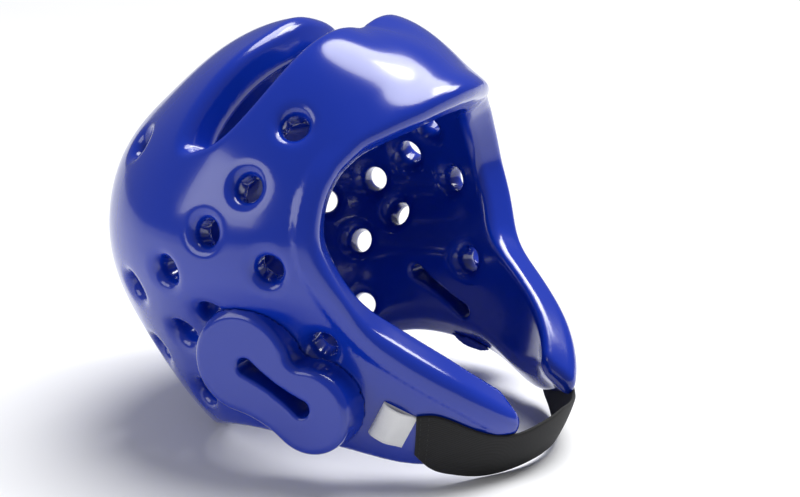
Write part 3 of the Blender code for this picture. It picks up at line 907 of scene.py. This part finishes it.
def dipped_material(name, blue, peel, wave, rough):
    made, tree, shader = blank_material(name)
    coords = tree.nodes.new("ShaderNodeTexCoord")
    skin_node = place_group(tree, shared("dipped_skin", dipped_group), {
        "Color": (*blue, 1.0), "Peel": peel, "Wave": wave, "Roughness": rough})
    dress(tree, skin_node, coords.outputs["Object"], shader)
    shader.inputs["IOR"].default_value = 1.5
    shader.inputs["Coat Weight"].default_value = 0.35
    shader.inputs["Coat Roughness"].default_value = 0.06
    made.diffuse_color = (*blue, 1.0)
    return made


def elastic_material(name, black):
    made, tree, shader = blank_material(name)
    uv = tree.nodes.new("ShaderNodeUVMap")
    uv.uv_map = "cloth"
    weave = place_group(tree, shared("knitted_elastic", weave_group), {
        "Color": (*black, 1.0), "Rib": 0.0011, "Height": 0.00022})
    dress(tree, weave, uv.outputs["UV"], shader)
    shader.inputs["Sheen Weight"].default_value = 0.04
    shader.inputs["Sheen Roughness"].default_value = 0.5
    made.diffuse_color = (*black, 1.0)
    return made


def satin_material(name, white):
    made, tree, shader = blank_material(name)
    coords = tree.nodes.new("ShaderNodeTexCoord")
    stretch = tree.nodes.new("ShaderNodeMapping")
    stretch.inputs["Rotation"].default_value = (radians(-28), 0, 0)
    stretch.inputs["Scale"].default_value = (1, 0.25, 1)
    wire(tree, coords.outputs["Object"], stretch.inputs["Vector"])
    fine = noise(tree, stretch.outputs["Vector"], 2600.0, 2.0)
    crease = noise(tree, coords.outputs["Object"], 120.0, 2.0)
    bump = tree.nodes.new("ShaderNodeBump")
    bump.inputs["Strength"].default_value = 0.6
    bump.inputs["Distance"].default_value = 1.0
    high = calc(tree, "MULTIPLY_ADD", crease, 0.0004, calc(tree, "MULTIPLY", fine, 0.00005))
    wire(tree, high, bump.inputs["Height"])
    wire(tree, mix_colour(tree, fine, white, tuple(0.86 * c for c in white)),
         shader.inputs["Base Color"])
    wire(tree, bump.outputs["Normal"], shader.inputs["Normal"])
    shader.inputs["Roughness"].default_value = 0.42
    shader.inputs["Sheen Weight"].default_value = 0.3
    made.diffuse_color = (*white, 1.0)
    return made


def thread_material(name, shade):
    made, tree, shader = blank_material(name)
    coords = tree.nodes.new("ShaderNodeTexCoord")
    twist = noise(tree, coords.outputs["Object"], 4000.0, 1.0)
    wire(tree, mix_colour(tree, twist, shade, tuple(0.6 * c for c in shade)),
         shader.inputs["Base Color"])
    shader.inputs["Roughness"].default_value = 0.55
    made.diffuse_color = (*shade, 1.0)
    return made


SHARED = {}


def shared(name, make):
    if name not in SHARED:
        SHARED[name] = make()
    return SHARED[name]


# Stitches by Geometry Nodes.

def stitch_tree():
    """Short thread loops along a line of edges."""
    tree = bpy.data.node_groups.new("sewn_stitches", "GeometryNodeTree")
    face = tree.interface
    face.new_socket(name="Line", in_out="INPUT", socket_type="NodeSocketGeometry")
    for label, value in (("Pitch", 0.003), ("Stitch length", 0.0024), ("Thread radius", 0.0002)):
        socket = face.new_socket(name=label, in_out="INPUT", socket_type="NodeSocketFloat")
        socket.default_value = value
    face.new_socket(name="Thread", in_out="INPUT", socket_type="NodeSocketMaterial")
    face.new_socket(name="Stitches", in_out="OUTPUT", socket_type="NodeSocketGeometry")
    node = tree.nodes.new
    given, out = node("NodeGroupInput"), node("NodeGroupOutput")
    curve, even = node("GeometryNodeMeshToCurve"), node("GeometryNodeResampleCurve")
    even.mode = "LENGTH"
    ball = node("GeometryNodeMeshUVSphere")
    ball.inputs["Segments"].default_value = 6
    ball.inputs["Rings"].default_value = 5
    ball.inputs["Radius"].default_value = 1.0
    shape = node("ShaderNodeCombineXYZ")
    half = node("ShaderNodeMath")
    half.operation = "MULTIPLY"
    half.inputs[1].default_value = 0.5
    stretch = node("GeometryNodeTransform")
    tangent = node("GeometryNodeInputTangent")
    turn = node("FunctionNodeAlignRotationToVector")
    turn.axis = "X"
    place = node("GeometryNodeInstanceOnPoints")
    real = node("GeometryNodeRealizeInstances")
    paint = node("GeometryNodeSetMaterial")
    for source, source_key, target, target_key in (
            (given, "Line", curve, "Mesh"), (curve, "Curve", even, "Curve"),
            (given, "Pitch", even, "Length"), (given, "Stitch length", half, 0),
            (half, 0, shape, "X"), (given, "Thread radius", shape, "Y"),
            (given, "Thread radius", shape, "Z"), (ball, "Mesh", stretch, "Geometry"),
            (shape, "Vector", stretch, "Scale"), (tangent, "Tangent", turn, "Vector"),
            (even, "Curve", place, "Points"), (stretch, "Geometry", place, "Instance"),
            (turn, "Rotation", place, "Rotation"), (place, "Instances", real, "Geometry"),
            (real, "Geometry", paint, "Geometry"), (given, "Thread", paint, "Material"),
            (paint, "Geometry", out, "Stitches")):
        tree.links.new(source.outputs[source_key], target.inputs[target_key])
    return tree


def stitches(name, lines, pitch, long, radius, thread, slot):
    """One mesh of stitches along lists of points."""
    verts, edges = [], []
    for line in lines:
        first = len(verts)
        verts += [list(p) for p in line]
        edges += [(first + i, first + i + 1) for i in range(len(line) - 1)]
    path = bpy.data.meshes.new(f"{name}_line")
    path.from_pydata(verts, edges, [])
    carrier = bpy.data.objects.new(f"{name}_line", path)
    bpy.context.scene.collection.objects.link(carrier)
    tree = shared("sewn_stitches", stitch_tree)
    modifier = carrier.modifiers.new("Stitches", "NODES")
    modifier.node_group = tree
    keys = {item.name: item.identifier for item in tree.interface.items_tree
            if item.item_type == "SOCKET" and item.in_out == "INPUT"}
    modifier[keys["Pitch"]] = pitch
    modifier[keys["Stitch length"]] = long
    modifier[keys["Thread radius"]] = radius
    modifier[keys["Thread"]] = thread
    graph = bpy.context.evaluated_depsgraph_get()
    mesh = bpy.data.meshes.new_from_object(carrier.evaluated_get(graph))
    carrier.modifiers.clear()
    bpy.data.objects.remove(carrier)
    if not mesh.polygons:
        raise RuntimeError(f"{name} made no stitches")
    mesh.name = name
    mesh.shade_smooth()
    return add(name, mesh, thread, slot)


# Operators.

class HEADGEAR_OT_foam_shell(bpy.types.Operator):
    """Build the dipped foam shell with its rims, air holes and crown slot"""
    bl_idname = "headgear.foam_shell"
    bl_label = "Foam shell"

    def execute(self, context):
        sizes = context.scene.headgear_foam
        gear = Headgear(sizes)
        step = sizes.cell
        mesh = shell_mesh(gear, step)
        finish = dipped_material("dipped_blue", tuple(sizes.blue), 0.000016, 0.00035, 0.17)
        piece = add("foam_shell_skin", mesh, finish, "shell_foam", "foam_shell")
        return {"FINISHED"}


class HEADGEAR_OT_ear_pads(bpy.types.Operator):
    """Build the two raised ear pads with their slots"""
    bl_idname = "headgear.ear_pads"
    bl_label = "Ear pads"

    def execute(self, context):
        sizes = context.scene.headgear_foam
        gear = Headgear(sizes)
        finish = dipped_material("dipped_blue_pad", tuple(sizes.blue), 0.000014, 0.00025, 0.20)
        step = sizes.pad_cell
        for side, name in ((-1, "ear_pad_right"), (1, "ear_pad_left")):
            piece = add(f"{name}_skin", pad_mesh(gear, side, step), finish, "pad_foam", name)
        return {"FINISHED"}


class HEADGEAR_OT_chin_strap(bpy.types.Operator):
    """Build the elastic chin strap and its sewn ends"""
    bl_idname = "headgear.chin_strap"
    bl_label = "Chin strap"

    def execute(self, context):
        sizes = context.scene.headgear_strap
        finish = elastic_material("knitted_black", tuple(sizes.black))
        add("chin_strap_elastic", strap_mesh(sizes.thickness), finish, "webbing", "chin_strap")
        thread = thread_material("black_thread", (0.02, 0.02, 0.022))
        lines = []
        for side in (-1, 1):
            for u in (0.975, 0.93):
                v = np.linspace(0.06, 0.94, 30)
                lines.append(strap_points(np.full_like(v, side * u), v, sizes.thickness)[0])
        stitches("chin_strap_stitches", lines, sizes.stitch * 1.3, sizes.stitch, sizes.thread,
                 thread, "webbing")
        return {"FINISHED"}


class HEADGEAR_OT_loop_label(bpy.types.Operator):
    """Build the bare folded label beside the strap's end"""
    bl_idname = "headgear.loop_label"
    bl_label = "Loop label"

    def execute(self, context):
        sizes = context.scene.headgear_label
        finish = satin_material("white_satin", tuple(sizes.white))
        add("loop_label_satin", label_mesh(sizes), finish, "satin", "loop_label")
        return {"FINISHED"}


class HEADGEAR_OT_stage(bpy.types.Operator):
    """Set the pale floor, the soft lights and the camera"""
    bl_idname = "headgear.stage"
    bl_label = "Floor, light and camera"

    def execute(self, context):
        scene, sizes = context.scene, context.scene.headgear_stage
        floor_mesh = bpy.data.meshes.new("floor")
        floor_mesh.from_pydata([(-6, -6, 0), (6, -6, 0), (6, 6, 0), (-6, 6, 0)], [],
                               [(0, 1, 2, 3)])
        floor = bpy.data.objects.new("floor", floor_mesh)
        scene.collection.objects.link(floor)
        made, tree, shader = blank_material("pale_floor")
        coords = tree.nodes.new("ShaderNodeTexCoord")
        soft = noise(tree, coords.outputs["Object"], 6.0, 2.0)
        wire(tree, mix_colour(tree, soft, tuple(sizes.floor),
                              tuple(0.97 * c for c in sizes.floor)), shader.inputs["Base Color"])
        shader.inputs["Roughness"].default_value = 0.6
        floor_mesh.materials.append(made)

        world = bpy.data.worlds.new("studio")
        scene.world = world
        world.use_nodes = True
        back = world.node_tree.nodes["Background"]
        back.inputs["Color"].default_value = (0.97, 0.975, 1.0, 1.0)
        # The room looks white to the camera and lights the foam less.
        path = world.node_tree.nodes.new("ShaderNodeLightPath")
        strength = calc(world.node_tree, "MULTIPLY_ADD", path.outputs["Is Camera Ray"],
                        0.95 - sizes.room, sizes.room)
        wire(world.node_tree, strength, back.inputs["Strength"])

        self.lamp(scene, "key_softbox", (0.75, -0.50, 1.25), (0.0, -0.05, 0.18), 0.40, 0.62, 9)
        self.lamp(scene, "side_softbox", (-1.25, 0.80, 0.75), (0.0, 0.0, 0.12), 1.10, 0.70, 7)
        window = bpy.data.lights.new("window", "SUN")
        window.energy, window.angle = sizes.sun, radians(40)
        light = bpy.data.objects.new("window", window)
        scene.collection.objects.link(light)
        light.rotation_mode = "QUATERNION"
        light.rotation_quaternion = Vector((-0.42, 0.05, -1.0)).to_track_quat("-Z", "Y")

        data = bpy.data.cameras.new("camera")
        data.lens = sizes.lens
        data.sensor_width = 36
        data.clip_start, data.clip_end = 0.05, 50
        camera = bpy.data.objects.new("camera", data)
        scene.collection.objects.link(camera)
        camera.location = sizes.camera
        a, e = radians(sizes.azimuth), radians(sizes.elevation)
        toward = Vector((sin(a) * cos(e), -cos(a) * cos(e), sin(e)))
        camera.rotation_mode = "QUATERNION"
        camera.rotation_quaternion = toward.to_track_quat("Z", "Y")
        scene.camera = camera
        scene.view_settings.view_transform = "Standard"
        scene.view_settings.look = "None"
        return {"FINISHED"}

    @staticmethod
    def lamp(scene, name, place, target, wide, high, power):
        data = bpy.data.lights.new(name, "AREA")
        data.shape = "RECTANGLE"
        data.size, data.size_y, data.energy = wide, high, power
        light = bpy.data.objects.new(name, data)
        scene.collection.objects.link(light)
        light.location = place
        toward = Vector(target) - Vector(place)
        light.rotation_mode = "QUATERNION"
        light.rotation_quaternion = toward.to_track_quat("-Z", "Y")


class HEADGEAR_PT_panel(bpy.types.Panel):
    bl_idname = "HEADGEAR_PT_panel"
    bl_label = "Sparring headgear"
    bl_space_type = "VIEW_3D"
    bl_region_type = "UI"
    bl_category = "Headgear"

    def draw(self, context):
        for title, group, operators in (
                ("Foam", context.scene.headgear_foam, ("foam_shell", "ear_pads")),
                ("Chin strap", context.scene.headgear_strap, ("chin_strap",)),
                ("Label", context.scene.headgear_label, ("loop_label",)),
                ("Stage", context.scene.headgear_stage, ("stage",))):
            box = self.layout.box()
            box.label(text=title)
            for key in group.bl_rna.properties.keys():
                if key not in ("rna_type", "name"):
                    box.prop(group, key)
            for key in operators:
                box.operator(f"headgear.{key}")


SETTINGS = (("headgear_foam", FoamSettings), ("headgear_strap", StrapSettings),
            ("headgear_label", LabelSettings), ("headgear_stage", StageSettings))
CLASSES = (HEADGEAR_OT_foam_shell, HEADGEAR_OT_ear_pads, HEADGEAR_OT_chin_strap,
           HEADGEAR_OT_loop_label, HEADGEAR_OT_stage, HEADGEAR_PT_panel)


def register():
    for name, group in SETTINGS:
        bpy.utils.register_class(group)
        setattr(bpy.types.Scene, name, bpy.props.PointerProperty(type=group))
    for made in CLASSES:
        bpy.utils.register_class(made)


def unregister():
    for made in reversed(CLASSES):
        bpy.utils.unregister_class(made)
    for name, group in reversed(SETTINGS):
        delattr(bpy.types.Scene, name)
        bpy.utils.unregister_class(group)


def main():
    register()
    bpy.ops.headgear.foam_shell()
    bpy.ops.headgear.ear_pads()
    bpy.ops.headgear.chin_strap()
    bpy.ops.headgear.loop_label()
    bpy.ops.headgear.stage()


if __name__ == "__main__":
    main()
